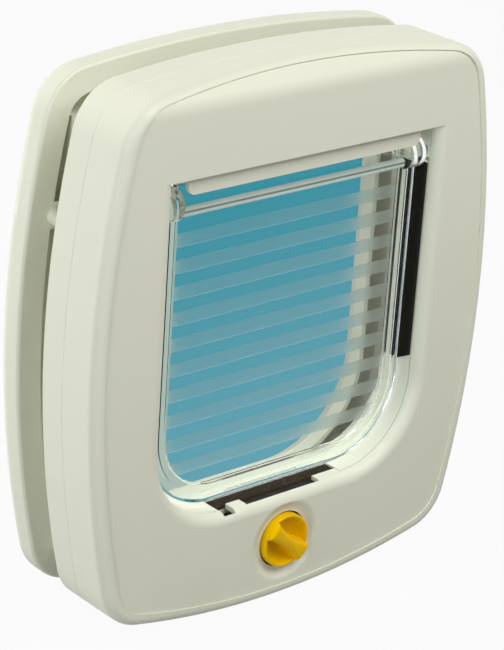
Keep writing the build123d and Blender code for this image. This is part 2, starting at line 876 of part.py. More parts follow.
# Housing: grooved channel for both stops, with the spindle's bearing
with BuildPart() as lock_housing:
    with BuildSketch(Plane.XY.offset(housing_bottom)):
        with Locations((0, (housing_back + bearing_end) / 2)):
            Rectangle(2 * housing_out, bearing_length)
        for side in (-1, 1):
            with Locations((side * (guide_in + housing_out) / 2, (guide_front + bearing_end) / 2)):
                Rectangle(housing_out - guide_in, bearing_end - guide_front)
            with Locations(
                (side * (guide_in + guide_depth / 2), front_slider_y),
                (side * (guide_in + guide_depth / 2), rear_slider_y),
            ):
                Rectangle(guide_depth, slider_thickness + 2 * slide_gap, mode=Mode.SUBTRACT)
    extrude(amount=housing_top - housing_bottom)
    with BuildSketch(at_y(bearing_end)):
        for z in lug_levels:
            with Locations((0, z)):
                SlotCenterToCenter(2 * lug_x, 2 * small_boss)
    extrude(amount=bearing_length)
    with BuildSketch(at_y(bearing_end)):
        with Locations((0, knob_z)):
            Circle(spindle_radius + running_gap)
        with Locations(*lug_points):
            Circle(small_screw + 2 * bore_gap)
    extrude(amount=bearing_length, mode=Mode.SUBTRACT)

lock_housing.part.label = "lock_housing"
export_step(lock_housing.part, "parts/lock_housing.step")

# Screws of the housing
with BuildPart() as housing_screws:
    with BuildSketch(at_y(housing_back)):
        with Locations(*lug_points):
            Circle(small_head)
    extrude(amount=head_height)
    with BuildSketch(at_y(housing_back)):
        with Locations(*lug_points):
            Circle(small_screw)
    extrude(amount=-small_length)

housing_screws.part.label = "housing_screws"
export_step(housing_screws.part, "parts/housing_screws.step")

# Screws through the door
with BuildPart() as fixing_screws:
    with BuildSketch(at_y(-boss_height)):
        with Locations(*fixing_points):
            Circle(screw_head)
    extrude(amount=head_height)
    with BuildSketch(at_y(-boss_height)):
        with Locations(*fixing_points):
            Circle(screw_radius)
    extrude(amount=-boss_height - door_thickness - screw_reach)

fixing_screws.part.label = "fixing_screws"
export_step(fixing_screws.part, "parts/fixing_screws.step")
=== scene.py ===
import math

import bpy
from bpy.props import FloatProperty, FloatVectorProperty, PointerProperty
from mathutils import Matrix, Vector


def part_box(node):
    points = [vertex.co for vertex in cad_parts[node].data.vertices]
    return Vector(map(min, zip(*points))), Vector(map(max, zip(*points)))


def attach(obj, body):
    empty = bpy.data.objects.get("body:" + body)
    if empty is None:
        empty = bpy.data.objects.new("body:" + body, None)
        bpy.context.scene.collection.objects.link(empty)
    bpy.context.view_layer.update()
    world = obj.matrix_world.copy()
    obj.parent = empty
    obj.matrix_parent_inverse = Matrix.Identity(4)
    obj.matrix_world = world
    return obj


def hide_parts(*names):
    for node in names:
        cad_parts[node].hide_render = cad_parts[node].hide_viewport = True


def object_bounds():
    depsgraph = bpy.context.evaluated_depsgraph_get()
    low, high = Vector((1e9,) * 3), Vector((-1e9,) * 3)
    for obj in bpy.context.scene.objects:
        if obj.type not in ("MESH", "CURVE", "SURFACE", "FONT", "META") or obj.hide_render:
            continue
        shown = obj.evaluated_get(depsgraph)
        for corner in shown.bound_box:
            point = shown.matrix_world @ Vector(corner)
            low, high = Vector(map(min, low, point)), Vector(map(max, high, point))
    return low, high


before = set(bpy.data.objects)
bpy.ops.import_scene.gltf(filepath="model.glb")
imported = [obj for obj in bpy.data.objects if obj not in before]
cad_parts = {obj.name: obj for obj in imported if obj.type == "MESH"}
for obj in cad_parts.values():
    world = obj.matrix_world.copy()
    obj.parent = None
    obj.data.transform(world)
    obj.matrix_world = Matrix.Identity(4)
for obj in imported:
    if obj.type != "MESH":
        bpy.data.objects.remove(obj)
cad_low, cad_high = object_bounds()

bl_info = {
    "name": "Cat flap looks",
    "version": (1, 0, 0),
    "blender": (4, 5, 0),
    "location": "View3D > Sidebar > Cat Flap",
    "description": "Finishes, brush strips, screws and stage for a four-way cat flap",
    "category": "Object",
}

MM = 0.001
MERGE_DISTANCE = 0.01 * MM
SMOOTH_ANGLE = math.radians(35)
TAPE_EDGE = 0.1 * MM
KNOB_FACETS = 72
# Chamfer of the bead's end as a share of its radius
BEAD_EDGE = 0.2
# Core of a long screw as a share of its thread's outside
THREAD_ROOT = 0.75
# Steps of a screw head's crown: share of the head's height, share of the width before the step
HEAD_CROWN = ((0.30, 0.86), (0.15, 0.7))
FLOOR_GAP = 0.2 * MM
FLOOR_TONE = 0.3
FLOOR_GLOW = 0.95
CARD_GAP = 1.0 * MM
# Share of the height over which the blue card's colour changes
CARD_FADE = 0.8


class FinishSettings(bpy.types.PropertyGroup):
    """Colours of the cat flap."""

    cream: FloatVectorProperty(
        name="Cream plastic",
        description="Colour of the moulded shells",
        subtype="COLOR",
        min=0.0,
        max=1.0,
        default=(0.735, 0.74, 0.61),
    )
    cream_shade: FloatVectorProperty(
        name="Cream shade",
        description="Slightly yellower cream that mottles the shells",
        subtype="COLOR",
        min=0.0,
        max=1.0,
        default=(0.71, 0.71, 0.575),
    )
    clear: FloatVectorProperty(
        name="Clear plastic",
        description="Tint of the flap",
        subtype="COLOR",
        min=0.0,
        max=1.0,
        default=(0.95, 0.975, 0.965),
    )
    band: FloatVectorProperty(
        name="Frosted band",
        description="Colour of the bands on the flap",
        subtype="COLOR",
        min=0.0,
        max=1.0,
        default=(0.86, 0.92, 0.91),
    )
    # Painted highlight: pale colour laid along both edges of the cross bead, where the lamps would light it
    bead_painted_highlight: FloatVectorProperty(
        name="Bead edges",
        description="Cloudy edges of the flap's cross bead",
        subtype="COLOR",
        min=0.0,
        max=1.0,
        default=(0.80, 0.89, 0.84),
    )
    # Painted shade: grey laid along the middle of the cross bead
    bead_painted_shade: FloatVectorProperty(
        name="Bead core",
        description="Grey middle of the flap's cross bead",
        subtype="COLOR",
        min=0.0,
        max=1.0,
        default=(0.20, 0.22, 0.17),
    )
    knob: FloatVectorProperty(
        name="Yellow plastic",
        description="Colour of the lock knob",
        subtype="COLOR",
        min=0.0,
        max=1.0,
        default=(0.88, 0.52, 0.001),
    )
    # Near black: the lock parts' own dark colour, which also paints the shade deep in the sill's lock slots
    stops: FloatVectorProperty(
        name="Dark plastic",
        description="Colour of the lock's stops and spindle",
        subtype="COLOR",
        min=0.0,
        max=1.0,
        default=(0.006, 0.0055, 0.004),
    )
    side_pile: FloatVectorProperty(
        name="Black pile",
        description="Colour of the brush strips at the sides",
        subtype="COLOR",
        min=0.0,
        max=1.0,
        default=(0.010, 0.010, 0.006),
    )
    sill_pile: FloatVectorProperty(
        name="Brown pile",
        description="Colour of the brush strip in the sill",
        subtype="COLOR",
        min=0.0,
        max=1.0,
        default=(0.045, 0.034, 0.020),
    )
    steel: FloatVectorProperty(
        name="Zinc steel",
        description="Colour of the screws and the washer",
        subtype="COLOR",
        min=0.0,
        max=1.0,
        default=(0.62, 0.61, 0.58),
    )


class PieceSettings(bpy.types.PropertyGroup):
    """Sizes of the pieces modelled here."""

    tuft_pitch: FloatProperty(
        name="Tuft pitch",
        description="Distance between the tufts of a brush strip",
        unit="LENGTH",
        default=1.0 * MM,
    )
    tuft_width: FloatProperty(
        name="Tuft width",
        description="Width of a tuft at its root",
        unit="LENGTH",
        default=0.9 * MM,
    )
    tuft_tip: FloatProperty(
        name="Tuft tip",
        description="Width of a tuft's tip as a share of its root",
        subtype="FACTOR",
        default=0.7,
    )
    tuft_stray: FloatProperty(
        name="Tuft stray",
        description="How far the corners of the tufts wander",
        unit="LENGTH",
        default=0.12 * MM,
    )
    backing: FloatProperty(
        name="Backing",
        description="Thickness of the tape that carries the tufts",
        unit="LENGTH",
        default=0.5 * MM,
    )
    foot_slant: FloatProperty(
        name="Foot slant",
        description="Slope of the cut foot of the side brush strips",
        subtype="ANGLE",
        default=math.radians(27.5),
    )
    bead_place: FloatProperty(
        name="Bead height",
        description="Height of the cross bead near the top of the flap",
        unit="LENGTH",
        default=65.9 * MM,
    )
    bead_width: FloatProperty(
        name="Bead width",
        description="Width of the flap's cross bead",
        unit="LENGTH",
        default=4.4 * MM,
    )
    bead_length: FloatProperty(
        name="Bead length",
        description="Length of the milky bead between the flap's ears",
        unit="LENGTH",
        default=129.0 * MM,
    )
    film_gap: FloatProperty(
        name="Film gap",
        description="Distance of the frosted bands and the bead's skin from the pane",
        unit="LENGTH",
        default=0.02 * MM,
    )
    knob_edge: FloatProperty(
        name="Knob edge",
        description="Chamfer round the front of the knob",
        unit="LENGTH",
        default=0.5 * MM,
    )
    bowl_radius: FloatProperty(
        name="Bowl radius",
        description="Radius of the hollow in the knob",
        unit="LENGTH",
        default=11.7 * MM,
    )
    bowl_depth: FloatProperty(
        name="Bowl depth",
        description="Depth of the hollow in the knob",
        unit="LENGTH",
        default=4.8 * MM,
    )
    bar_proud: FloatProperty(
        name="Bar height",
        description="How far the knob's finger bar stands out of its cup",
        unit="LENGTH",
        default=2.6 * MM,
    )
    bar_end: FloatProperty(
        name="Bar end",
        description="Width of the finger bar's foot at its ends, before it is trimmed",
        unit="LENGTH",
        default=15.8 * MM,
    )
    bar_waist: FloatProperty(
        name="Bar waist",
        description="Width of the finger bar's foot at its middle, before it is trimmed",
        unit="LENGTH",
        default=9.0 * MM,
    )
    bar_crest: FloatProperty(
        name="Bar crest",
        description="Width of the finger bar's crest as a share of its foot",
        subtype="FACTOR",
        default=0.543,
    )
    bar_round: FloatProperty(
        name="Bar round",
        description="Round along the finger bar's crest and over its ends",
        unit="LENGTH",
        default=1.9 * MM,
    )
    bar_turn: FloatProperty(
        name="Bar turn",
        description="Turn of the finger bar from level",
        subtype="ANGLE",
        default=math.radians(-40.0),
    )
    cut_gap: FloatProperty(
        name="Cut gap",
        description="Room that keeps two faces of a cut from lying in one plane",
        unit="LENGTH",
        default=0.1 * MM,
    )
    screw_radius: FloatProperty(
        name="Screw radius",
        description="Outside of the long screws' thread",
        unit="LENGTH",
        default=2.0 * MM,
    )
    screw_head: FloatProperty(
        name="Screw head",
        description="Radius of the long screws' heads",
        unit="LENGTH",
        default=4.2 * MM,
    )
    head_height: FloatProperty(
        name="Head height",
        description="Height of the long screws' heads",
        unit="LENGTH",
        default=2.0 * MM,
    )
    screw_pitch: FloatProperty(
        name="Screw pitch",
        description="Rise of the thread in one turn",
        unit="LENGTH",
        default=1.5 * MM,
    )
    upper_screw: FloatVectorProperty(
        name="Upper screw",
        description="Place of the upper right screw across and up the door",
        size=2,
        unit="LENGTH",
        default=(95.5 * MM, 58.0 * MM),
    )
    lower_screw: FloatVectorProperty(
        name="Lower screw",
        description="Place of the lower right screw across and up the door",
        size=2,
        unit="LENGTH",
        default=(86.0 * MM, -98.0 * MM),
    )


class StageSettings(bpy.types.PropertyGroup):
    """Camera, lights and surroundings."""

    yaw: FloatProperty(
        name="Yaw",
        description="Turn of the camera to the right of straight ahead",
        subtype="ANGLE",
        default=math.radians(41.983),
    )
    pitch: FloatProperty(
        name="Pitch",
        description="How far the camera looks down",
        subtype="ANGLE",
        default=math.radians(22.461),
    )
    roll: FloatProperty(
        name="Roll",
        description="Turn of the camera about its own axis",
        subtype="ANGLE",
        default=math.radians(3.892),
    )
    distance: FloatProperty(
        name="Distance",
        description="Camera to the point that it looks at",
        unit="LENGTH",
        default=1.07115,
    )
    aim: FloatVectorProperty(
        name="Aim",
        description="Point in the middle of the picture",
        subtype="TRANSLATION",
        unit="LENGTH",
        default=(-0.014887, -0.019405, 0.003953),
    )
    lens: FloatProperty(
        name="Lens",
        description="Focal length in millimetres on a 36 mm long side",
        default=136.589,
    )
    key_power: FloatProperty(
        name="Key light",
        description="Power of the softbox above the room side",
        unit="POWER",
        default=9.9,
    )
    key_place: FloatVectorProperty(
        name="Key light place",
        description="Where the softbox above the room side stands",
        subtype="TRANSLATION",
        unit="LENGTH",
        default=(0.21, -0.63, 0.88),
    )
    left_power: FloatProperty(
        name="Left light",
        description="Power of the softbox that faces the left wall",
        unit="POWER",
        default=6.8,
    )
    left_color: FloatVectorProperty(
        name="Left light colour",
        description="Slightly cool colour of the softbox that faces the left wall",
        subtype="COLOR",
        min=0.0,
        max=1.0,
        default=(0.92, 0.96, 1.0),
    )
    left_place: FloatVectorProperty(
        name="Left light place",
        description="Where the softbox that faces the left wall stands",
        subtype="TRANSLATION",
        unit="LENGTH",
        default=(-1.1, -0.33, 0.22),
    )
    back_power: FloatProperty(
        name="Back light",
        description="Power of the softbox behind the door side",
        unit="POWER",
        default=11.8,
    )
    back_place: FloatVectorProperty(
        name="Back light place",
        description="Where the softbox behind the door side stands",
        subtype="TRANSLATION",
        unit="LENGTH",
        default=(-0.45, 1.0, 0.35),
    )
    softbox_size: FloatProperty(
        name="Softbox size",
        description="Side of each softbox",
        unit="LENGTH",
        default=0.7,
    )
    fill: FloatProperty(
        name="Fill",
        description="Strength of the even light from all round",
        default=0.15,
    )
    floor_size: FloatProperty(
        name="Floor size",
        description="Side of the floor",
        unit="LENGTH",
        default=8.0,
    )
    card_size: FloatVectorProperty(
        name="Card size",
        description="Width and height of the pale card",
        size=2,
        unit="LENGTH",
        default=(166.0 * MM, 186.0 * MM),
    )
    card_corner: FloatProperty(
        name="Card corner",
        description="Round at the cards' lower corners, other than the blue card's left one",
        unit="LENGTH",
        default=44.0 * MM,
    )
    card_depth: FloatProperty(
        name="Card depth",
        description="Distance of the blue card from the door's room side",
        unit="LENGTH",
        default=20.0 * MM,
    )
    card_left: FloatProperty(
        name="Blue card left",
        description="Place of the blue card's left edge",
        unit="LENGTH",
        default=-29.0 * MM,
    )
    card_foot: FloatProperty(
        name="Blue card foot",
        description="Place of the blue card's lower edge",
        unit="LENGTH",
        default=-91.0 * MM,
    )
    card_left_corner: FloatProperty(
        name="Blue card corner",
        description="Round at the blue card's lower left corner",
        unit="LENGTH",
        default=28.0 * MM,
    )
    card_margin: FloatVectorProperty(
        name="Card margin",
        description="Colour of the pale card behind the blue one",
        subtype="COLOR",
        min=0.0,
        max=1.0,
        default=(0.40, 0.50, 0.44),
    )
    card_top: FloatVectorProperty(
        name="Card top",
        description="Colour of the blue card at its top",
        subtype="COLOR",
        min=0.0,
        max=1.0,
        default=(0.003, 0.245, 0.325),
    )
    card_bottom: FloatVectorProperty(
        name="Card bottom",
        description="Colour of the blue card at its foot",
        subtype="COLOR",
        min=0.0,
        max=1.0,
        default=(0.095, 0.348, 0.440),
    )


# Selection and modelling


def select_only(piece):
    """Leave one object selected and active."""
    bpy.ops.object.select_all(action="DESELECT")
    piece.select_set(True)
    bpy.context.view_layer.objects.active = piece


def apply_modifier(piece, kind, **values):
    """Add a modifier with these values and apply it."""
    select_only(piece)
    modifier = piece.modifiers.new(kind.lower(), kind)
    for name, value in values.items():
        setattr(modifier, name, value)
    bpy.ops.object.modifier_apply(modifier=modifier.name)


def apply_place(piece):
    """Put a piece's place, turn and scale into its mesh, so that its object is at the origin."""
    select_only(piece)
    bpy.ops.object.transform_apply(location=True, rotation=True, scale=True)


def settle(piece, turn, place):
    """Turn and move a piece, then leave its object at the origin."""
    piece.rotation_euler = turn
    piece.location = place
    apply_place(piece)


def join(pieces):
    """Join pieces into the first of them."""
    select_only(pieces[0])
    for piece in pieces[1:]:
        piece.select_set(True)
    bpy.ops.object.join()


def discard(tool):
    """Delete an object that only helped to model others, with its mesh."""
    bpy.data.meshes.remove(tool.data)


def combine_solids(piece, tool, operation):
    """Change a piece by a boolean with a tool, which is used up."""
    apply_modifier(piece, "BOOLEAN", operation=operation, object=tool, solver="EXACT")
    discard(tool)


def open_mesh():
    """Open the active object's mesh for modelling with all of it selected."""
    bpy.ops.object.editmode_toggle()
    bpy.ops.mesh.select_all(action="SELECT")


def open_corners(piece, wanted):
    """Open a mesh for modelling with only the corners selected whose place is wanted."""
    select_only(piece)
    bpy.ops.object.editmode_toggle()
    bpy.ops.mesh.select_mode(type="VERT")
    bpy.ops.mesh.select_all(action="DESELECT")
    bpy.ops.object.editmode_toggle()
    for corner in piece.data.vertices:
        corner.select = wanted(corner.co)
    bpy.ops.object.editmode_toggle()


def close_mesh():
    """Point the faces of the open mesh outwards and close it."""
    bpy.ops.mesh.select_all(action="SELECT")
    bpy.ops.mesh.normals_make_consistent(inside=False)
    bpy.ops.object.editmode_toggle()


def extrude(move):
    """Extrude the selected face of the open mesh."""
    bpy.ops.mesh.extrude_region_move(TRANSFORM_OT_translate={"value": move})


def taper(rise, share):
    """Extrude the selected face along Z and draw it in to a share of its size."""
    extrude((0.0, 0.0, rise))
    bpy.ops.transform.resize(value=(share, share, 1.0))


def round_bar(radius, low, high, facets):
    """Round bar on the Z axis from height low to height high, left open with its end face selected."""
    bpy.ops.mesh.primitive_circle_add(
        vertices=facets,
        radius=radius,
        fill_type="NGON",
        enter_editmode=True,
        location=(0.0, 0.0, low),
    )
    extrude((0.0, 0.0, high - low))
    return bpy.context.object


def paint(piece, finish):
    """Give a piece one finish all over."""
    piece.data.materials.clear()
    piece.data.materials.append(finish)


def dress(nodes, finish):
    """Give CAD nodes one finish all over."""
    for name in nodes:
        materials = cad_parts[name].data.materials
        for index in range(len(materials)):
            materials[index] = finish


# Shader nodes


def add_node(tree, kind, values=None, **settings):
    """New shader node with some of its settings and inputs set."""
    node = tree.nodes.new(kind)
    for name, value in settings.items():
        setattr(node, name, value)
    for name, value in (values or {}).items():
        node.inputs[name].default_value = value
    return node


def texture(tree, kind, values):
    """Texture node that stays with the object."""
    place = tree.nodes.new("ShaderNodeTexCoord")
    node = add_node(tree, kind, values)
    tree.links.new(place.outputs["Object"], node.inputs["Vector"])
    return node


def climb(tree, low, high, foot=0.0, head=1.0):
    """Socket whose value runs from foot at height low to head at height high."""
    place = tree.nodes.new("ShaderNodeTexCoord")
    parts = tree.nodes.new("ShaderNodeSeparateXYZ")
    spread = {"From Min": low, "From Max": high, "To Min": foot, "To Max": head}
    run = add_node(tree, "ShaderNodeMapRange", spread)
    tree.links.new(place.outputs["Object"], parts.inputs["Vector"])
    tree.links.new(parts.outputs["Z"], run.inputs["Value"])
    return run.outputs["Result"]


def reckon(tree, operation, *values, clamp=False):
    """Socket of a math node; each value is a socket or a plain number."""
    node = add_node(tree, "ShaderNodeMath", operation=operation, use_clamp=clamp)
    for slot, value in zip(node.inputs, values):
        if isinstance(value, bpy.types.NodeSocket):
            tree.links.new(value, slot)
        else:
            slot.default_value = value
    return node.outputs["Value"]


def mix_shaders(tree, share, first, second):
    """Socket of a mix that is all second where share is 1."""
    mix = tree.nodes.new("ShaderNodeMixShader")
    for source, slot in zip((share, first, second), mix.inputs):
        tree.links.new(source, slot)
    return mix.outputs["Shader"]


def opaque(color, share=1.0):
    """Colour with full alpha, darker or lighter by a share."""
    return (*(share * part for part in color), 1.0)


def grey(tone):
    """Opaque grey of one tone."""
    return opaque((tone, tone, tone))


def start_finish(name):
    """Empty material, with its tree and output."""
    finish = bpy.data.materials.new(name)
    finish.use_nodes = True
    tree = finish.node_tree
    tree.nodes.clear()
    return finish, tree, tree.nodes.new("ShaderNodeOutputMaterial")


def start_group(name, inputs, outputs):
    """Empty shader node group with its sockets, and its input and output nodes."""
    group = bpy.data.node_groups.new(name, "ShaderNodeTree")
    for side, sockets in (("INPUT", inputs), ("OUTPUT", outputs)):
        for socket, kind in sockets.items():
            group.interface.new_socket(socket, in_out=side, socket_type=f"NodeSocket{kind}")
    return group, group.nodes.new("NodeGroupInput"), group.nodes.new("NodeGroupOutput")


# Materials


def moulded_skin():
    """Group: mottled tone, uneven gloss and fine spark-eroded grain of moulded plastic."""
    name = "Moulded skin"
    if name in bpy.data.node_groups:
        return bpy.data.node_groups[name]
    group, given, result = start_group(
        name,
        {
            "Tone": "Color",
            "Shade": "Color",
            "Mottle": "Float",
            "Grain": "Float",
            "Smooth": "Float",
            "Rough": "Float",
        },
        {"Color": "Color", "Roughness": "Float", "Height": "Float"},
    )
    cloud = texture(group, "ShaderNodeTexNoise", {"Detail": 4.0, "Roughness": 0.55})
    grain = texture(group, "ShaderNodeTexNoise", {"Detail": 2.0, "Roughness": 0.5})
    tone = add_node(group, "ShaderNodeMix", data_type="RGBA")
    gloss = add_node(group, "ShaderNodeMapRange", {"From Min": 0.3, "From Max": 0.7})
    link = group.links.new
    link(given.outputs["Mottle"], cloud.inputs["Scale"])
    link(given.outputs["Grain"], grain.inputs["Scale"])
    link(cloud.outputs["Fac"], tone.inputs["Factor"])
    link(given.outputs["Tone"], tone.inputs["A"])
    link(given.outputs["Shade"], tone.inputs["B"])
    link(tone.outputs["Result"], result.inputs["Color"])
    link(cloud.outputs["Fac"], gloss.inputs["Value"])
    link(given.outputs["Smooth"], gloss.inputs["To Min"])
    link(given.outputs["Rough"], gloss.inputs["To Max"])
    link(gloss.outputs["Result"], result.inputs["Roughness"])
    link(grain.outputs["Fac"], result.inputs["Height"])
    return group


def moulded_plastic(name, skin, shine, relief):
    """Opaque plastic with the moulded skin; skin and shine hold the values of its skin and its shader."""
    finish, tree, output = start_finish(name)
    surface = add_node(tree, "ShaderNodeGroup", skin, node_tree=moulded_skin())
    shader = add_node(tree, "ShaderNodeBsdfPrincipled", {"IOR": 1.53, **shine})
    bump = add_node(tree, "ShaderNodeBump", {"Strength": 0.5, "Distance": relief})
    link = tree.links.new
    link(surface.outputs["Color"], shader.inputs["Base Color"])
    link(surface.outputs["Roughness"], shader.inputs["Roughness"])
    link(surface.outputs["Height"], bump.inputs["Height"])
    link(bump.outputs["Normal"], shader.inputs["Normal"])
    link(shader.outputs["BSDF"], output.inputs["Surface"])
    return finish


def cream_plastic(colors):
    """Warm white shells with a satin, finely grained skin."""
    skin = {
        "Tone": opaque(colors.cream),
        "Shade": opaque(colors.cream_shade),
        "Mottle": 28.0,
        "Grain": 2200.0,
        "Smooth": 0.34,
        "Rough": 0.46,
    }
    shine = {"Specular IOR Level": 0.25}
    return moulded_plastic("cream_plastic", skin, shine, relief=0.02 * MM)


def yellow_plastic(colors):
    """Satin yellow of the knob."""
    skin = {
        "Tone": opaque(colors.knob),
        "Shade": opaque(colors.knob, share=0.9),
        "Mottle": 90.0,
        "Grain": 1800.0,
        "Smooth": 0.26,
        "Rough": 0.38,
    }
    shine = {"Specular IOR Level": 0.12, "Specular Tint": opaque(colors.knob)}
    return moulded_plastic("yellow_plastic", skin, shine, relief=0.012 * MM)


def dark_plastic(colors):
    """Matt near-black plastic of the lock's inner parts; its darkness also paints the shade deep in the
    sill's lock slots.
    """
    skin = {
        "Tone": opaque(colors.stops),
        "Shade": opaque(colors.stops, share=1.6),
        "Mottle": 120.0,
        "Grain": 2000.0,
        "Smooth": 0.45,
        "Rough": 0.6,
    }
    shine = {"Specular IOR Level": 0.15}
    return moulded_plastic("dark_plastic", skin, shine, relief=0.02 * MM)


def let_light_through(tree, shader, color):
    """Socket of a shader that lamps shine through, so what stands behind it is lit."""
    passing = add_node(tree, "ShaderNodeBsdfTransparent", {"Color": opaque(color)})
    path = tree.nodes.new("ShaderNodeLightPath")
    return mix_shaders(tree, path.outputs["Is Shadow Ray"], shader.outputs["BSDF"], passing.outputs["BSDF"])


def bead_climb(tree, sizes, foot, head):
    """Socket whose value runs from foot to head across the flap's cross bead."""
    half = sizes.bead_width / 2
    return climb(tree, sizes.bead_place - half, sizes.bead_place + half, foot, head)


def clear_plastic(colors, sizes):
    """Polished clear plastic, hazy along its cross bead, that lets light through."""
    finish, tree, output = start_finish("clear_plastic")
    haze = texture(tree, "ShaderNodeTexNoise", {"Scale": 60.0, "Detail": 3.0})
    polish_spread = {"From Min": 0.35, "From Max": 0.75, "To Min": 0.01, "To Max": 0.05}
    polish = add_node(tree, "ShaderNodeMapRange", polish_spread)
    away = reckon(tree, "ABSOLUTE", bead_climb(tree, sizes, foot=-1.0, head=1.0))
    bead_spread = {"From Min": 0.8, "From Max": 1.0, "To Min": 0.2, "To Max": 0.0}
    bead = add_node(tree, "ShaderNodeMapRange", bead_spread)
    rough = reckon(tree, "MAXIMUM", polish.outputs["Result"], bead.outputs["Result"])
    shader = add_node(
        tree,
        "ShaderNodeBsdfPrincipled",
        {
            "Base Color": opaque(colors.clear),
            "Transmission Weight": 1.0,
            "IOR": 1.49,
            "Specular Tint": grey(0.16),
        },
    )
    link = tree.links.new
    link(haze.outputs["Fac"], polish.inputs["Value"])
    link(away, bead.inputs["Value"])
    link(rough, shader.inputs["Roughness"])
    link(let_light_through(tree, shader, colors.clear), output.inputs["Surface"])
    return finish


def painted_bead_light(colors, sizes):
    """Translucent plastic of the cross bead, with painted highlights along both edges and painted shade
    between them.
    """
    finish, tree, output = start_finish("painted_bead_light")
    pale = opaque(colors.bead_painted_highlight)
    core = opaque(colors.bead_painted_shade)
    tone = tree.nodes.new("ShaderNodeValToRGB")
    stops = tone.color_ramp.elements
    stops[0].color = pale
    stops[1].color = pale
    # Pale stops paint highlights along the bead's edges; grey stops paint shade in its middle
    for share, color in ((0.46, pale), (0.54, core), (0.66, core), (0.76, pale)):
        stops.new(share).color = color
    shader = add_node(
        tree,
        "ShaderNodeBsdfPrincipled",
        {"Roughness": 0.25, "Transmission Weight": 0.4, "IOR": 1.49},
    )
    link = tree.links.new
    link(bead_climb(tree, sizes, foot=0.0, head=1.0), tone.inputs["Fac"])
    link(tone.outputs["Color"], shader.inputs["Base Color"])
    link(let_light_through(tree, shader, colors.bead_painted_highlight), output.inputs["Surface"])
    return finish


def frosted_band(colors):
    """Etched bands that blur what lies behind them."""
    finish, tree, output = start_finish("frosted_band")
    speck = texture(tree, "ShaderNodeTexNoise", {"Scale": 900.0, "Detail": 3.0})
    etch = add_node(tree, "ShaderNodeMapRange", {"To Min": 0.2, "To Max": 0.26})
    shader = add_node(
        tree,
        "ShaderNodeBsdfPrincipled",
        {
            "Base Color": opaque(colors.band),
            "Transmission Weight": 0.985,
            "IOR": 1.45,
            "Specular Tint": grey(0.3),
        },
    )
    link = tree.links.new
    link(speck.outputs["Fac"], etch.inputs["Value"])
    link(etch.outputs["Result"], shader.inputs["Roughness"])
    link(let_light_through(tree, shader, colors.band), output.inputs["Surface"])
    return finish


def brush_pile(name, color):
    """Matt fibres with a soft sheen, each tuft a little lighter or darker."""
    finish, tree, output = start_finish(name)
    tufts = texture(tree, "ShaderNodeTexNoise", {"Scale": 1200.0, "Detail": 2.0})
    tones = {"A": opaque(color, share=0.6), "B": opaque(color, share=1.4)}
    tone = add_node(tree, "ShaderNodeMix", tones, data_type="RGBA")
    shader = add_node(
        tree,
        "ShaderNodeBsdfPrincipled",
        {"Roughness": 0.9, "Specular IOR Level": 0.2, "Sheen Weight": 0.05, "Sheen Roughness": 0.4},
    )
    link = tree.links.new
    link(tufts.outputs["Fac"], tone.inputs["Factor"])
    link(tone.outputs["Result"], shader.inputs["Base Color"])
    link(shader.outputs["BSDF"], output.inputs["Surface"])
    return finish


def zinc_steel(colors):
    """Zinc-plated steel with a faint crystalline mottle."""
    finish, tree, output = start_finish("zinc_steel")
    spangle = texture(tree, "ShaderNodeTexVoronoi", {"Scale": 1400.0})
    gloss = add_node(tree, "ShaderNodeMapRange", {"To Min": 0.28, "To Max": 0.42})
    tones = {"A": opaque(colors.steel), "B": opaque(colors.steel, share=0.82)}
    tone = add_node(tree, "ShaderNodeMix", tones, data_type="RGBA")
    shader = add_node(tree, "ShaderNodeBsdfPrincipled", {"Metallic": 1.0})
    link = tree.links.new
    link(spangle.outputs["Distance"], gloss.inputs["Value"])
    link(spangle.outputs["Distance"], tone.inputs["Factor"])
    link(gloss.outputs["Result"], shader.inputs["Roughness"])
    link(tone.outputs["Result"], shader.inputs["Base Color"])
    link(shader.outputs["BSDF"], output.inputs["Surface"])
    return finish


# Flap


def frosted_film(sizes, finish):
    """Copy of the bands that stands a hair off the pane, so that light passes the two in turn."""
    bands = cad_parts["flap_stripes"].copy()
    bands.data = bands.data.copy()
    bands.name = "frosted_film"
    bands.parent = None
    bpy.context.collection.objects.link(bands)
    select_only(bands)
    open_mesh()
    bpy.ops.mesh.remove_doubles(threshold=MERGE_DISTANCE)
    bpy.ops.transform.translate(value=(0.0, -sizes.film_gap, 0.0))
    bpy.ops.object.editmode_toggle()
    paint(bands, finish)
    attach(bands, "flap")
    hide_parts("flap_stripes")


def cross_bead(sizes, finish):
    """Half-round bead across the room side of the pane, chamfered at its right end."""
    _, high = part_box("flap_stripes")
    radius = sizes.bead_width / 2 + sizes.film_gap
    reach = sizes.bead_length / 2
    edge = BEAD_EDGE * radius
    bead = round_bar(radius, -reach, reach - edge, facets=32)
    taper(edge, 1 - edge / radius)
    close_mesh()
    bead.name = "cross_bead"
    settle(bead, (0.0, math.pi / 2, 0.0), (-reach, high.y, sizes.bead_place))
    open_mesh()
    bpy.ops.mesh.bisect(
        plane_co=(0.0, high.y - sizes.film_gap, 0.0),
        plane_no=(0.0, 1.0, 0.0),
        use_fill=True,
        clear_outer=True,
    )
    close_mesh()
    bpy.ops.object.shade_smooth_by_angle(angle=SMOOTH_ANGLE)
    paint(bead, finish)
    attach(bead, "flap")


# Brush strips


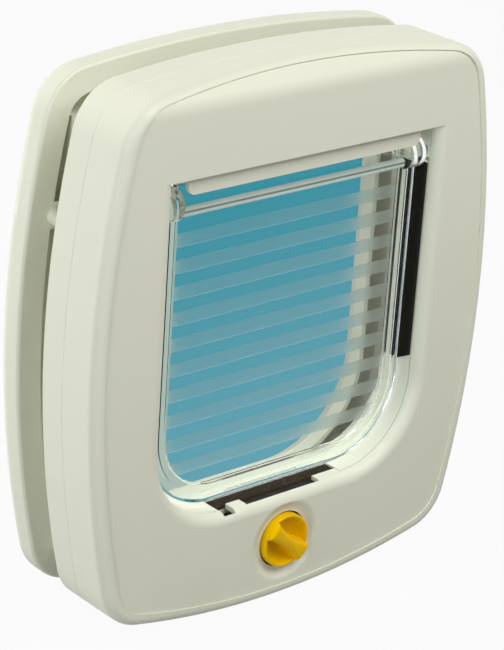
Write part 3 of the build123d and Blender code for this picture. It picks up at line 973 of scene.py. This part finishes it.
def pile_field(sizes, length, depth, height):
    """Rows of tapered tufts on a tape, lying along X with the pile up, centred on the origin."""
    fewest = 2
    along = max(fewest, round(length / sizes.tuft_pitch))
    across = max(fewest, round(depth / sizes.tuft_pitch))
    step = (length / along, depth / across)
    corner = ((step[0] - length) / 2, (step[1] - depth) / 2, sizes.backing)
    bpy.ops.mesh.primitive_plane_add(size=sizes.tuft_width, enter_editmode=True, location=corner)
    taper(height - sizes.backing - sizes.tuft_stray, sizes.tuft_tip)
    bpy.ops.object.editmode_toggle()
    pile = bpy.context.object
    apply_place(pile)
    for count, offset in ((along, (step[0], 0.0, 0.0)), (across, (0.0, step[1], 0.0))):
        apply_modifier(
            pile,
            "ARRAY",
            count=count,
            use_relative_offset=False,
            use_constant_offset=True,
            constant_offset_displace=offset,
        )
    open_mesh()
    bpy.ops.transform.vertex_random(offset=sizes.tuft_stray, uniform=1.0, normal=0.0, seed=5)
    bpy.ops.object.editmode_toggle()
    return pile


def tape(sizes, length, depth):
    """Backing tape with softened edges, lying along X under the pile."""
    bpy.ops.mesh.primitive_plane_add(size=1.0, enter_editmode=True)
    bpy.ops.transform.resize(value=(length, depth, 1.0))
    extrude((0.0, 0.0, sizes.backing))
    bpy.ops.mesh.select_all(action="SELECT")
    bpy.ops.mesh.normals_make_consistent(inside=False)
    bpy.ops.mesh.bevel(offset=TAPE_EDGE, segments=2, affect="EDGES")
    bpy.ops.object.editmode_toggle()
    return bpy.context.object


def slant_foot(strip, low, high, slant):
    """Cut the foot of an upright strip so that it rises towards the room."""
    select_only(strip)
    open_mesh()
    bpy.ops.mesh.bisect(
        plane_co=(0.0, (low.y + high.y) / 2, low.z),
        plane_no=(0.0, -math.sin(slant), -math.cos(slant)),
        clear_outer=True,
    )
    bpy.ops.mesh.select_all(action="SELECT")
    bpy.ops.mesh.fill_holes(sides=0)
    close_mesh()


def brush_strip(name, node, finish, sizes, turn, face):
    """Brush strip in the place of a CAD node, its back on the given face of the node's box."""
    low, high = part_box(node)
    middle = (low + high) / 2
    size = high - low
    if turn:
        length, depth, height = size.z, size.y, size.x
        foot = Vector((face(low.x, high.x), middle.y, middle.z))
    else:
        length, depth, height = size.x, size.y, size.z
        foot = Vector((middle.x, middle.y, face(low.z, high.z)))
    pile = pile_field(sizes, length, depth, height)
    join((pile, tape(sizes, length, depth)))
    pile.name = name
    pile.data.name = name
    settle(pile, (0.0, turn, 0.0), foot)
    if turn:
        slant_foot(pile, low, high, sizes.foot_slant)
    paint(pile, finish)
    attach(pile, "frame")
    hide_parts(node)


# Knob


def knob_cup(sizes, radius, thickness):
    """Cup on the Z axis with its back at the origin and an oval bowl in its front."""
    cup = round_bar(radius, 0.0, thickness - sizes.knob_edge, KNOB_FACETS)
    taper(sizes.knob_edge, 1 - sizes.knob_edge / radius)
    bpy.ops.mesh.inset(thickness=radius - sizes.knob_edge - sizes.bowl_radius)
    steps = 9
    floor_turn = math.radians(78.0)
    turns = [floor_turn * step / steps for step in range(steps + 1)]
    for here, there in zip(turns, turns[1:]):
        taper(sizes.bowl_depth * (math.sin(here) - math.sin(there)), math.cos(there) / math.cos(here))
    close_mesh()
    return cup


def round_shoulder(radius, shoulder):
    """Carry an open round bar on by a quarter round at its end."""
    steps = 5
    turns = [math.pi / 2 * step / steps for step in range(steps + 1)]
    reaches = [radius - shoulder * (1 - math.cos(turn)) for turn in turns]
    rises = [shoulder * math.sin(turn) for turn in turns]
    for step in range(steps):
        taper(rises[step + 1] - rises[step], reaches[step + 1] / reaches[step])


def finger_bar(sizes, radius, low, high):
    """Waisted bar along X, wide at its ends, trimmed to the round of the cup."""
    steps = 12
    reach = radius + sizes.bar_round
    foot = low - 2 * sizes.bar_round
    middle = (foot + high) / 2
    flare = sizes.bar_end - sizes.bar_waist
    places = [reach * (2 * step / steps - 1) for step in range(steps + 1)]
    widths = [sizes.bar_waist + flare * (x / radius) ** 2 for x in places]
    bpy.ops.mesh.primitive_plane_add(
        size=1.0,
        enter_editmode=True,
        rotation=(0.0, math.pi / 2, 0.0),
        location=(-reach, 0.0, middle),
    )
    bpy.ops.transform.resize(value=(1.0, widths[0], high - foot))
    for here, there in zip(widths, widths[1:]):
        extrude((2 * reach / steps, 0.0, 0.0))
        bpy.ops.transform.resize(value=(1.0, there / here, 1.0))
    close_mesh()
    bar = bpy.context.object
    apply_place(bar)
    open_corners(bar, lambda place: place.z > middle)
    bpy.ops.transform.resize(value=(1.0, sizes.bar_crest, 1.0))
    bpy.ops.object.editmode_toggle()
    apply_modifier(
        bar,
        "BEVEL",
        width=sizes.bar_round,
        segments=4,
        limit_method="ANGLE",
        angle_limit=math.radians(40),
    )
    trim = round_bar(radius, low, high - sizes.bar_round + sizes.cut_gap, KNOB_FACETS)
    round_shoulder(radius, sizes.bar_round)
    close_mesh()
    combine_solids(bar, trim, "INTERSECT")
    return bar


def yellow_knob(sizes, finish):
    """Cup with a waisted finger bar in the place of the plain knob."""
    low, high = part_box("lock_knob")
    radius = (high.x - low.x) / 2
    thickness = high.y - low.y - sizes.bar_proud
    cup = knob_cup(sizes, radius, thickness)
    mid_floor = (thickness - sizes.bowl_depth) / 2
    bar = finger_bar(sizes, radius - sizes.cut_gap, mid_floor, thickness + sizes.bar_proud)
    settle(bar, (0.0, 0.0, sizes.bar_turn), (0.0, 0.0, 0.0))
    combine_solids(cup, bar, "UNION")
    open_mesh()
    bpy.ops.mesh.remove_doubles(threshold=MERGE_DISTANCE)
    close_mesh()
    cup.name = "yellow_knob"
    settle(cup, (math.pi / 2, 0.0, 0.0), ((low.x + high.x) / 2, high.y, (low.z + high.z) / 2))
    bpy.ops.object.shade_smooth_by_angle(angle=SMOOTH_ANGLE)
    paint(cup, finish)
    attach(cup, "knob")
    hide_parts("lock_knob")


# Screws


def screw_thread(core, crest, pitch, low, high):
    """Spiral ridge round the Z axis."""
    turn_steps = 14
    bpy.ops.mesh.primitive_circle_add(
        vertices=4,
        radius=crest - core,
        fill_type="NOTHING",
        rotation=(math.pi / 2, 0.0, 0.0),
        location=(core, 0.0, low),
    )
    thread = bpy.context.object
    apply_place(thread)
    apply_modifier(
        thread,
        "SCREW",
        axis="Z",
        angle=2 * math.pi,
        screw_offset=pitch,
        iterations=round((high - low) / pitch),
        steps=turn_steps,
        render_steps=turn_steps,
    )
    open_mesh()
    bpy.ops.mesh.remove_doubles(threshold=MERGE_DISTANCE)
    bpy.ops.mesh.fill_holes(sides=4)
    close_mesh()
    return thread


def fixing_screw(sizes, length):
    """Pan-head screw on the Z axis, its head's crown at the origin and its tip up."""
    crown = sizes.head_height * sum(rise for rise, _ in HEAD_CROWN)
    head = round_bar(sizes.screw_head, sizes.head_height, crown, facets=28)
    for rise, share in HEAD_CROWN:
        taper(-rise * sizes.head_height, share)
    close_mesh()
    core = THREAD_ROOT * sizes.screw_radius
    point = 2 * sizes.screw_radius
    inside_head = 0.9 * sizes.head_height
    shank = round_bar(core, inside_head, length - point, facets=16)
    taper(point, share=0.1)
    close_mesh()
    start = sizes.head_height + sizes.screw_pitch
    end = length - point - sizes.screw_radius
    thread = screw_thread(core, sizes.screw_radius, sizes.screw_pitch, start, end)
    join((head, shank, thread))
    bpy.ops.object.shade_smooth_by_angle(angle=SMOOTH_ANGLE)
    return head


# Stage


def backdrop_share(tree):
    """Socket that is 1 for camera, mirror and glass rays."""
    path = tree.nodes.new("ShaderNodeLightPath")
    seen = reckon(tree, "MAXIMUM", path.outputs["Is Camera Ray"], path.outputs["Is Glossy Ray"])
    return reckon(tree, "MAXIMUM", seen, path.outputs["Is Transmission Ray"])


def light_world(settings):
    """White surroundings that give an even fill."""
    world = bpy.data.worlds.new("studio")
    bpy.context.scene.world = world
    world.use_nodes = True
    tree = world.node_tree
    tree.nodes.clear()
    output = tree.nodes.new("ShaderNodeOutputWorld")
    fill = add_node(tree, "ShaderNodeBackground", {"Color": grey(1.0), "Strength": settings.fill})
    white = add_node(tree, "ShaderNodeBackground", {"Color": grey(1.0), "Strength": 1.0})
    mix = mix_shaders(tree, backdrop_share(tree), fill.outputs["Background"], white.outputs["Background"])
    tree.links.new(mix, output.inputs["Surface"])


def floor_finish():
    """White floor that keeps a faint shadow."""
    finish, tree, output = start_finish("studio_floor")
    matt = add_node(tree, "ShaderNodeBsdfDiffuse", {"Color": grey(FLOOR_TONE)})
    glow = add_node(tree, "ShaderNodeEmission", {"Color": grey(1.0), "Strength": 1.0})
    share = reckon(tree, "MULTIPLY", backdrop_share(tree), FLOOR_GLOW)
    mix = mix_shaders(tree, share, matt.outputs["BSDF"], glow.outputs["Emission"])
    tree.links.new(mix, output.inputs["Surface"])
    return finish


def card_finish(name, foot, head, low, high):
    """Card that only shows through the clear flap, from the foot's colour up to the head's colour."""
    finish, tree, output = start_finish(name)
    tone = add_node(tree, "ShaderNodeMix", {"A": opaque(foot), "B": opaque(head)}, data_type="RGBA")
    glow = tree.nodes.new("ShaderNodeEmission")
    gone = tree.nodes.new("ShaderNodeBsdfTransparent")
    rays = tree.nodes.new("ShaderNodeLightPath").outputs
    straight = reckon(tree, "SUBTRACT", rays["Is Transmission Ray"], rays["Glossy Depth"], clamp=True)
    shown = reckon(tree, "MAXIMUM", straight, rays["Is Shadow Ray"])
    mix = mix_shaders(tree, shown, gone.outputs["BSDF"], glow.outputs["Emission"])
    link = tree.links.new
    link(climb(tree, low, high), tone.inputs["Factor"])
    link(tone.outputs["Result"], glow.inputs["Color"])
    link(mix, output.inputs["Surface"])
    return finish


def lay_floor(settings):
    """Floor just under the lowest point of the object."""
    place = (0.0, 0.0, cad_low.z - FLOOR_GAP)
    bpy.ops.mesh.primitive_plane_add(size=settings.floor_size, location=place)
    floor = bpy.context.object
    floor.name = "studio_floor"
    paint(floor, floor_finish())


def round_corner(card, side, radius):
    """Round the lower corner of an upright card on the side where X has the given sign."""
    places = [corner.co for corner in card.data.vertices]
    middle = sum(place.x for place in places) / len(places)
    just_above = min(place.z for place in places) + 1.0 * MM
    open_corners(card, lambda place: place.z < just_above and side * (place.x - middle) > 0)
    bpy.ops.mesh.bevel(offset=radius, segments=8, affect="VERTICES")
    bpy.ops.object.editmode_toggle()


def hang_card(name, low, high, depth, corners, finish):
    """Upright card from corner low to corner high with its right and left lower corners rounded."""
    bpy.ops.mesh.primitive_plane_add(size=1.0, rotation=(math.pi / 2, 0.0, 0.0))
    card = bpy.context.object
    card.name = name
    card.scale = (high[0] - low[0], high[1] - low[1], 1.0)
    card.location = ((low[0] + high[0]) / 2, depth, (low[1] + high[1]) / 2)
    apply_place(card)
    for side, radius in zip((1, -1), corners):
        round_corner(card, side, radius)
    paint(card, finish)


def hang_cards(settings):
    """Blue card across the outside frame's opening, and a pale one behind it that is larger."""
    width, height = settings.card_size
    low = (-width / 2, -height / 2)
    high = (width / 2, height / 2)
    corner = settings.card_corner
    pale = card_finish("pale_card", settings.card_margin, settings.card_margin, low[1], high[1])
    hang_card("pale_card", low, high, settings.card_depth + CARD_GAP, (corner, corner), pale)
    fade_low = CARD_FADE * low[1]
    fade_high = CARD_FADE * high[1]
    blue = card_finish("blue_card", settings.card_bottom, settings.card_top, fade_low, fade_high)
    blue_low = (settings.card_left, settings.card_foot)
    corners = (corner, settings.card_left_corner)
    hang_card("blue_card", blue_low, high, settings.card_depth, corners, blue)


def softbox(name, power, size, place):
    """Square area light that faces the middle of the object."""
    turn = (-Vector(place)).to_track_quat("-Z", "Y").to_euler()
    bpy.ops.object.light_add(type="AREA", location=place, rotation=turn)
    lamp = bpy.context.object
    lamp.name = name
    lamp.data.energy = power
    lamp.data.shape = "SQUARE"
    lamp.data.size = size
    return lamp


def place_camera(settings):
    """Camera at the photograph's viewing angle."""
    turn = (
        Matrix.Rotation(-settings.yaw, 3, "Z")
        @ Matrix.Rotation(math.pi / 2 - settings.pitch, 3, "X")
        @ Matrix.Rotation(settings.roll, 3, "Z")
    )
    eye = Vector(settings.aim) + turn @ Vector((0.0, 0.0, settings.distance))
    bpy.ops.object.camera_add(location=eye, rotation=turn.to_euler())
    camera = bpy.context.object
    camera.name = "photo_camera"
    camera.data.lens = settings.lens
    camera.data.sensor_width = 36.0
    camera.data.sensor_fit = "AUTO"
    bpy.context.scene.camera = camera


# Operators


class CATFLAP_OT_shells(bpy.types.Operator):
    """Finish the cream shells, hinge caps and lock housing"""

    bl_idname = "catflap.shells"
    bl_label = "Cream shells"

    def execute(self, context):
        finish = cream_plastic(context.scene.catflap_finish)
        shells = ("front_cover", "base_frame", "outside_frame")
        fittings = ("hinge_cap_left", "hinge_cap_right", "lock_housing")
        dress(shells + fittings, finish)
        return {"FINISHED"}


class CATFLAP_OT_flap(bpy.types.Operator):
    """Finish the clear flap and model its bead and its frosted bands"""

    bl_idname = "catflap.flap"
    bl_label = "Clear flap"

    def execute(self, context):
        colors = context.scene.catflap_finish
        sizes = context.scene.catflap_pieces
        dress(("flap_pane",), clear_plastic(colors, sizes))
        frosted_film(sizes, frosted_band(colors))
        cross_bead(sizes, painted_bead_light(colors, sizes))
        return {"FINISHED"}


class CATFLAP_OT_brush_strips(bpy.types.Operator):
    """Model the three brush strips against draughts"""

    bl_idname = "catflap.brush_strips"
    bl_label = "Brush strips"

    def execute(self, context):
        colors = context.scene.catflap_finish
        sizes = context.scene.catflap_pieces
        black = brush_pile("black_pile", colors.side_pile)
        brown = brush_pile("brown_pile", colors.sill_pile)
        quarter = math.pi / 2
        brush_strip("side_brush_right", "draught_strip_right", black, sizes, -quarter, max)
        brush_strip("side_brush_left", "draught_strip_left", black, sizes, quarter, min)
        brush_strip("sill_brush", "draught_strip_sill", brown, sizes, 0.0, min)
        return {"FINISHED"}


class CATFLAP_OT_lock(bpy.types.Operator):
    """Model the knob and finish the spindle and the two stops"""

    bl_idname = "catflap.lock"
    bl_label = "Lock"

    def execute(self, context):
        colors = context.scene.catflap_finish
        yellow_knob(context.scene.catflap_pieces, yellow_plastic(colors))
        dress(("lock_spindle", "front_lock_slider", "rear_lock_slider"), dark_plastic(colors))
        return {"FINISHED"}


class CATFLAP_OT_screws(bpy.types.Operator):
    """Model the four long screws and finish the small ones and the washer"""

    bl_idname = "catflap.screws"
    bl_label = "Screws"

    def execute(self, context):
        finish = zinc_steel(context.scene.catflap_finish)
        sizes = context.scene.catflap_pieces
        dress(("hinge_screws", "housing_screws", "spindle_screw", "spindle_washer"), finish)
        low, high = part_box("fixing_screws")
        pattern = fixing_screw(sizes, high.y - low.y)
        for corner, (x, z) in (("upper", sizes.upper_screw), ("lower", sizes.lower_screw)):
            for side, sign in (("left", -1), ("right", 1)):
                screw = bpy.data.objects.new(f"fixing_screw_{corner}_{side}", pattern.data.copy())
                context.collection.objects.link(screw)
                settle(screw, (-math.pi / 2, 0.0, 0.0), (sign * x, low.y, z))
                paint(screw, finish)
                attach(screw, "frame")
                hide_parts("fixing_screws")
        discard(pattern)
        return {"FINISHED"}


class CATFLAP_OT_stage(bpy.types.Operator):
    """Set up the floor, the cards behind the flap, the lights and the camera"""

    bl_idname = "catflap.stage"
    bl_label = "Stage"

    def execute(self, context):
        settings = context.scene.catflap_stage
        context.scene.view_settings.view_transform = "Standard"
        light_world(settings)
        lay_floor(settings)
        hang_cards(settings)
        size = settings.softbox_size
        softbox("key_softbox", settings.key_power, size, settings.key_place)
        left = softbox("left_softbox", settings.left_power, size, settings.left_place)
        left.data.color = settings.left_color
        back = softbox("back_softbox", settings.back_power, size, settings.back_place)
        back.visible_transmission = False
        back.visible_glossy = False
        place_camera(settings)
        return {"FINISHED"}


class CATFLAP_PT_sidebar(bpy.types.Panel):
    """Buttons that dress the cat flap"""

    bl_idname = "CATFLAP_PT_sidebar"
    bl_label = "Cat Flap"
    bl_space_type = "VIEW_3D"
    bl_region_type = "UI"
    bl_category = "Cat Flap"

    def draw(self, context):
        for operator in OPERATORS:
            self.layout.operator(operator.bl_idname)


OPERATORS = (
    CATFLAP_OT_shells,
    CATFLAP_OT_flap,
    CATFLAP_OT_brush_strips,
    CATFLAP_OT_lock,
    CATFLAP_OT_screws,
    CATFLAP_OT_stage,
)
SETTINGS = {
    "catflap_finish": FinishSettings,
    "catflap_pieces": PieceSettings,
    "catflap_stage": StageSettings,
}


def register():
    """Add the classes and their settings to Blender."""
    for kind in (*SETTINGS.values(), *OPERATORS, CATFLAP_PT_sidebar):
        bpy.utils.register_class(kind)
    for name, kind in SETTINGS.items():
        setattr(bpy.types.Scene, name, PointerProperty(type=kind))


def unregister():
    """Take the settings and classes out again."""
    for name in SETTINGS:
        delattr(bpy.types.Scene, name)
    for kind in (CATFLAP_PT_sidebar, *reversed(OPERATORS), *SETTINGS.values()):
        bpy.utils.unregister_class(kind)


def main():
    """Dress the cat flap and set the stage."""
    register()
    bpy.ops.catflap.shells()
    bpy.ops.catflap.flap()
    bpy.ops.catflap.brush_strips()
    bpy.ops.catflap.lock()
    bpy.ops.catflap.screws()
    bpy.ops.catflap.stage()


if __name__ == "__main__":
    main()
